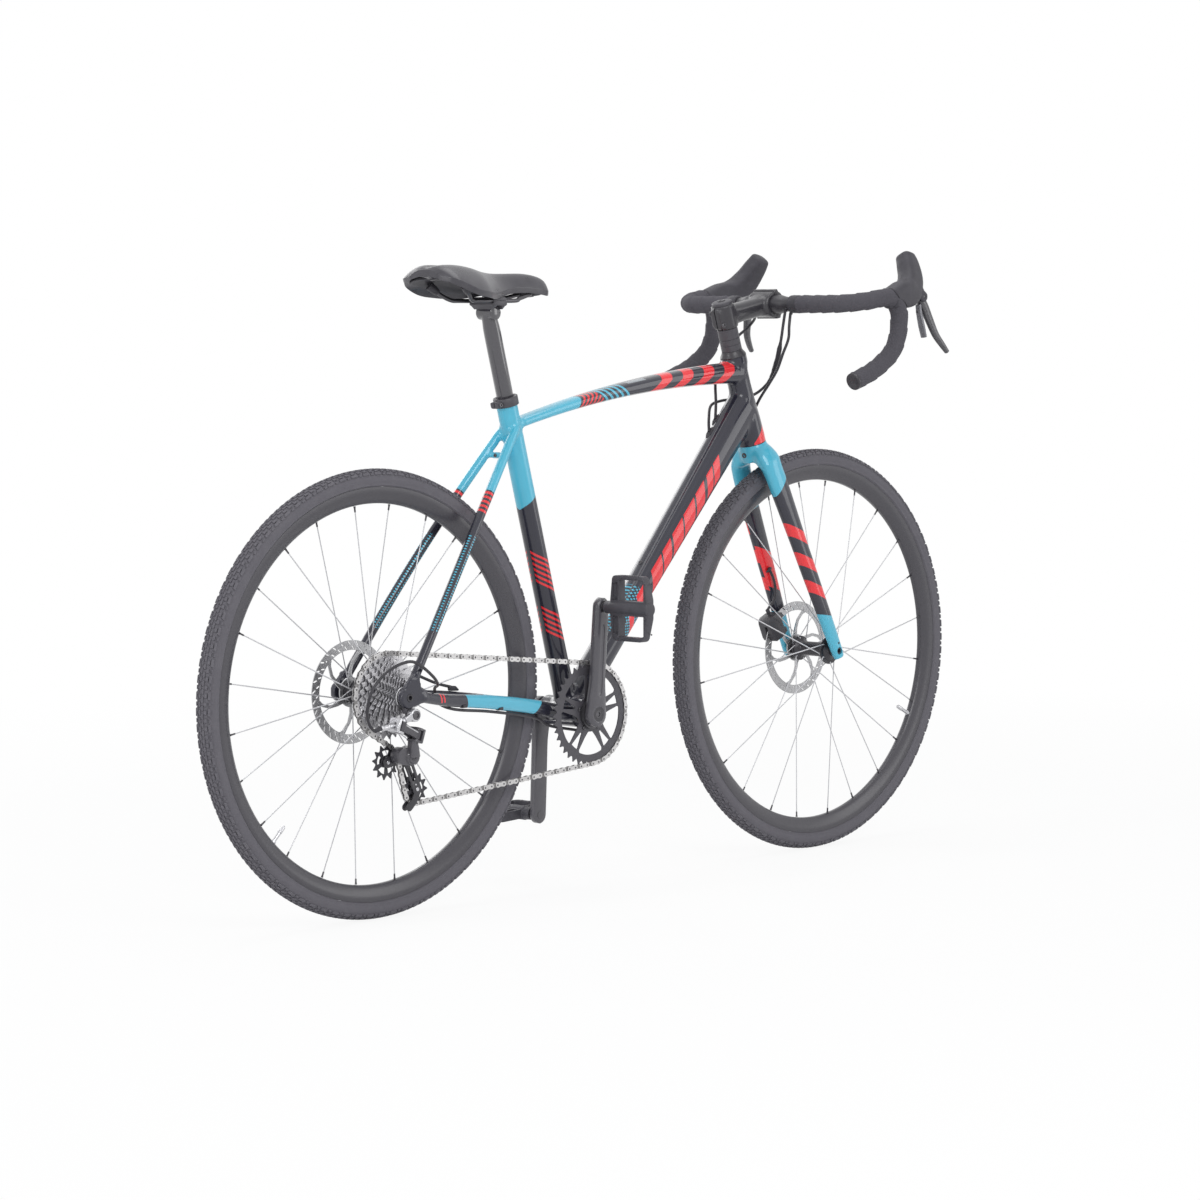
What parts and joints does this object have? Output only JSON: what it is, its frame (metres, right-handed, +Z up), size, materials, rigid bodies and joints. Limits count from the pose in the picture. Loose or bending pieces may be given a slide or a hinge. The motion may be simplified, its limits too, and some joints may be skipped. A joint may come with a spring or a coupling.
{
  "type": "cyclocross bicycle",
  "caption": "Drop-bar cyclocross bicycle with knobbly tyres, disc brakes and a single chainring; wheels, steering, drivetrain, levers and saddle all move.",
  "frame": {"origin": "on the ground in the middle plane, midway between the two axles", "axes": "+X forward, +Y to the rider's left, +Z up; the drivetrain is at -Y"},
  "size_m": [1.715, 0.4488, 1.0245],
  "materials": {
    "frame_paint": "gloss paint, dark navy with printed graphics",
    "fork_paint": "gloss paint, teal and navy",
    "tread_rubber": "moulded rubber",
    "rim_black": "matt black anodised",
    "spoke_steel": "drawn wire",
    "black_alloy": "satin black anodised",
    "silver_alloy": "bright machined",
    "chain_nickel": "nickel plated",
    "bar_tape": "soft ribbed tape",
    "hood_rubber": "matt rubber",
    "saddle_cover": "smooth synthetic leather",
    "black_plastic": "moulded nylon",
    "hose": "smooth outer sheath"
  },
  "bodies": {
    "frame": {"frame": "frame_paint", "seat_collar": "black_alloy", "bb_cup_left": "black_alloy", "bb_cup_right": "black_alloy", "rear_axle": "black_alloy", "rear_caliper": "black_alloy", "rear_brake_hose": "hose", "shift_housing": "hose", "derailleur_hanger": "black_alloy", "derailleur_b_knuckle": "silver_alloy", "chain": "chain_nickel", "rear_brake_hose_front": "hose", "shift_housing_front": "hose"},
    "steering": {"fork": "fork_paint", "headset_cover": "black_alloy", "headset_spacers": "black_alloy", "stem_top_cap": "black_alloy", "stem": "black_alloy", "stem_faceplate": "black_alloy", "handlebar": "black_alloy", "bar_tape_left": "bar_tape", "bar_tape_right": "bar_tape", "brake_hood_left": "hood_rubber", "brake_hood_right": "hood_rubber", "front_axle": "black_alloy", "front_caliper": "black_alloy", "front_brake_hose": "hose", "front_brake_hose_lower": "hose"},
    "front_wheel": {"front_tyre": "tread_rubber", "front_rim": "rim_black", "front_hub": "black_alloy", "front_spokes_left": "spoke_steel", "front_spokes_right": "spoke_steel", "front_rotor": "silver_alloy"},
    "rear_wheel": {"rear_tyre": "tread_rubber", "rear_rim": "rim_black", "rear_hub": "black_alloy", "rear_spokes_left": "spoke_steel", "rear_spokes_right": "spoke_steel", "rear_rotor": "silver_alloy"},
    "sprockets": {"cassette": "silver_alloy"},
    "crankset": {"crank_right": "black_alloy", "crank_left": "black_alloy", "chainring": "black_alloy"},
    "pedal_right": {"pedal_right": "black_plastic"},
    "pedal_left": {"pedal_left": "black_plastic"},
    "brake_lever_right": {"brake_lever_right": "black_alloy"},
    "brake_lever_left": {"brake_lever_left": "black_alloy"},
    "shift_paddle": {"shift_paddle": "black_alloy"},
    "seatpost": {"seatpost": "black_alloy"},
    "saddle": {"saddle_clamp": "black_alloy", "saddle_rails": "black_alloy", "saddle_shell": "black_plastic", "saddle_cover": "saddle_cover"},
    "derailleur_outer_link": {"derailleur_outer_link": "black_alloy"},
    "derailleur_inner_link": {"derailleur_inner_link": "black_alloy"},
    "derailleur_p_knuckle": {"derailleur_p_knuckle": "black_alloy"},
    "derailleur_cage": {"derailleur_cage": "black_alloy"},
    "guide_pulley": {"guide_pulley": "black_plastic"},
    "tension_pulley": {"tension_pulley": "black_plastic"}
  },
  "joints": [
    {"name": "steering", "type": "hinge", "parent": "frame", "child": "steering", "pos_m": [0.30972, 0, 0.85079], "axis": [-0.304, 0, 0.9527], "range_deg": [-70, 70], "deforming": ["rear_brake_hose_front", "shift_housing_front"]},
    {"name": "front_wheel_spin", "type": "hinge", "parent": "steering", "child": "front_wheel", "pos_m": [0.5125, 0, 0.345], "axis": [0, 1, 0], "continuous": true},
    {"name": "rear_wheel_spin", "type": "hinge", "parent": "frame", "child": "rear_wheel", "pos_m": [-0.5125, 0, 0.345], "axis": [0, 1, 0], "continuous": true},
    {"name": "crank_spin", "type": "hinge", "parent": "frame", "child": "crankset", "pos_m": [-0.09004, 0, 0.285], "axis": [0, 1, 0], "continuous": true, "deforming": ["chain"]},
    {"name": "sprocket_spin", "type": "hinge", "parent": "frame", "child": "sprockets", "pos_m": [-0.5125, 0, 0.345], "axis": [0, 1, 0], "continuous": true, "deforming": ["chain"]},
    {"name": "pedal_right_spin", "type": "hinge", "parent": "crankset", "child": "pedal_right", "pos_m": [-0.08402, -0.137, 0.45739], "axis": [0, 1, 0], "continuous": true},
    {"name": "pedal_left_spin", "type": "hinge", "parent": "crankset", "child": "pedal_left", "pos_m": [-0.09606, 0.131, 0.11261], "axis": [0, 1, 0], "continuous": true},
    {"name": "brake_lever_right_pull", "type": "hinge", "parent": "steering", "child": "brake_lever_right", "pos_m": [0.56262, -0.193, 0.94897], "axis": [0, 1, 0], "range_deg": [0, 20], "stiffness_Nm_per_rad": 0.6, "springref_deg": -22.92},
    {"name": "brake_lever_left_pull", "type": "hinge", "parent": "steering", "child": "brake_lever_left", "pos_m": [0.56262, 0.193, 0.94897], "axis": [0, 1, 0], "range_deg": [0, 20], "stiffness_Nm_per_rad": 0.6, "springref_deg": -22.92},
    {"name": "shift_paddle_push", "type": "hinge", "parent": "brake_lever_right", "child": "shift_paddle", "pos_m": [0.55712, -0.197, 0.92297], "axis": [1, 0, 0], "range_deg": [0, 18], "stiffness_Nm_per_rad": 0.2, "springref_deg": -20.05},
    {"name": "seatpost_slide", "type": "slide", "parent": "frame", "child": "seatpost", "axis": [-0.2605, 0, 0.9655], "range_m": [-0.06, 0.03]},
    {"name": "saddle_tilt", "type": "hinge", "parent": "seatpost", "child": "saddle", "pos_m": [-0.26262, 0, 0.92463], "axis": [0, 1, 0], "range_deg": [-8, 8]},
    {"name": "derailleur_outer_swing", "type": "hinge", "parent": "frame", "child": "derailleur_outer_link", "pos_m": [-0.531, -0.084, 0.303], "axis": [0.342, 0, 0.9397], "range_deg": [-40, 0], "deforming": ["chain"]},
    {"name": "derailleur_inner_swing", "type": "hinge", "parent": "frame", "child": "derailleur_inner_link", "pos_m": [-0.531, -0.069, 0.303], "axis": [0.342, 0, 0.9397], "range_deg": [-41, 0]},
    {"name": "derailleur_knuckle_swing", "type": "hinge", "parent": "derailleur_outer_link", "child": "derailleur_p_knuckle", "pos_m": [-0.48243, -0.06519, 0.28532], "axis": [0.342, 0, 0.9397], "range_deg": [0, 41], "deforming": ["chain"]},
    {"name": "derailleur_cage_swing", "type": "hinge", "parent": "derailleur_p_knuckle", "child": "derailleur_cage", "pos_m": [-0.484, -0.0288, 0.251], "axis": [0, 1, 0], "range_deg": [-5, 12], "deforming": ["chain"]},
    {"name": "guide_pulley_spin", "type": "hinge", "parent": "derailleur_cage", "child": "guide_pulley", "pos_m": [-0.5155, -0.0288, 0.2435], "axis": [0, 1, 0], "continuous": true, "deforming": ["chain"]},
    {"name": "tension_pulley_spin", "type": "hinge", "parent": "derailleur_cage", "child": "tension_pulley", "pos_m": [-0.4551, -0.0288, 0.1968], "axis": [0, 1, 0], "continuous": true, "deforming": ["chain"]}
  ],
  "couplings": [
    {"joint": "sprocket_spin", "follows": "crank_spin", "ratio": 1.25},
    {"joint": "guide_pulley_spin", "follows": "crank_spin", "ratio": -3.3333},
    {"joint": "tension_pulley_spin", "follows": "crank_spin", "ratio": 3.6364},
    {"joint": "derailleur_inner_swing", "follows": "derailleur_outer_swing", "ratio": 1},
    {"joint": "derailleur_knuckle_swing", "follows": "derailleur_outer_swing", "ratio": -1}
  ]
}
